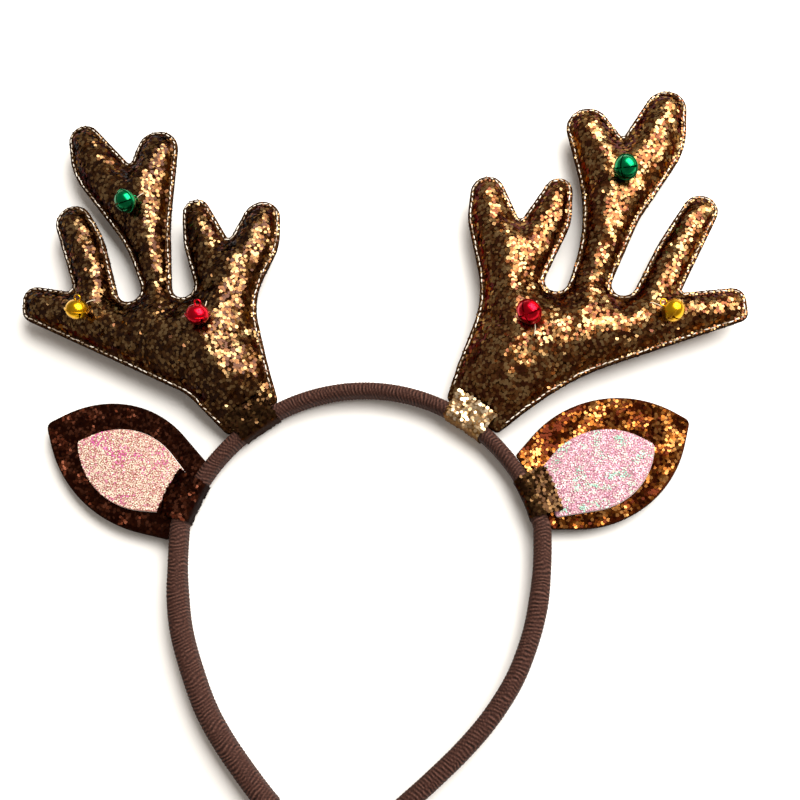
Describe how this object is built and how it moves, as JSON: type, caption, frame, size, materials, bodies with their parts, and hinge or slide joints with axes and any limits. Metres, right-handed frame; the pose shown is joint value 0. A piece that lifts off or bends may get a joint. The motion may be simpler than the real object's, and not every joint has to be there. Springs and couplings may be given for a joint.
{
  "type": "reindeer antler headband",
  "caption": "Padded glitter antlers and flat felt ears on a ribbon-covered hair hoop, with small jingle bells sewn on, lying on its back.",
  "frame": {"origin": "bottom centre of the bounding box, on the surface that the headband lies on", "axes": "+X to the right of the front view, +Y from the hoop's ends to the antler tips, +Z out of the front face, up as it lies"},
  "size_m": [0.2709, 0.2617, 0.0283],
  "materials": {
    "ribbon_brown": "ribbed ribbon wound over the hoop",
    "bronze_glitter": "chunky bronze glitter on fabric",
    "gold_glitter": "pale gold glitter on fabric",
    "brown_glitter": "dark brown glitter on fabric",
    "copper_glitter": "copper glitter on felt",
    "dark_glitter": "very dark red-brown glitter on felt",
    "pink_glitter": "fine iridescent pink glitter on felt",
    "peach_glitter": "fine iridescent peach glitter on felt",
    "green_metal": "green lacquered metal, glossy",
    "red_metal": "red lacquered metal, glossy",
    "yellow_metal": "yellow lacquered metal, glossy"
  },
  "bodies": {
    "root": {"headband": "ribbon_brown", "antler_right": "bronze_glitter", "antler_left": "bronze_glitter", "antler_tab_right": "gold_glitter", "antler_tab_left": "brown_glitter", "ear_right": "copper_glitter", "ear_left": "dark_glitter", "ear_leaf_right": "pink_glitter", "ear_leaf_left": "peach_glitter", "ear_tab_right": "brown_glitter", "ear_tab_left": "brown_glitter", "bell_right_green": "green_metal", "bell_left_green": "green_metal", "bell_right_red": "red_metal", "bell_left_red": "red_metal", "bell_right_yellow": "yellow_metal", "bell_left_yellow": "yellow_metal"}
  },
  "joints": []
}
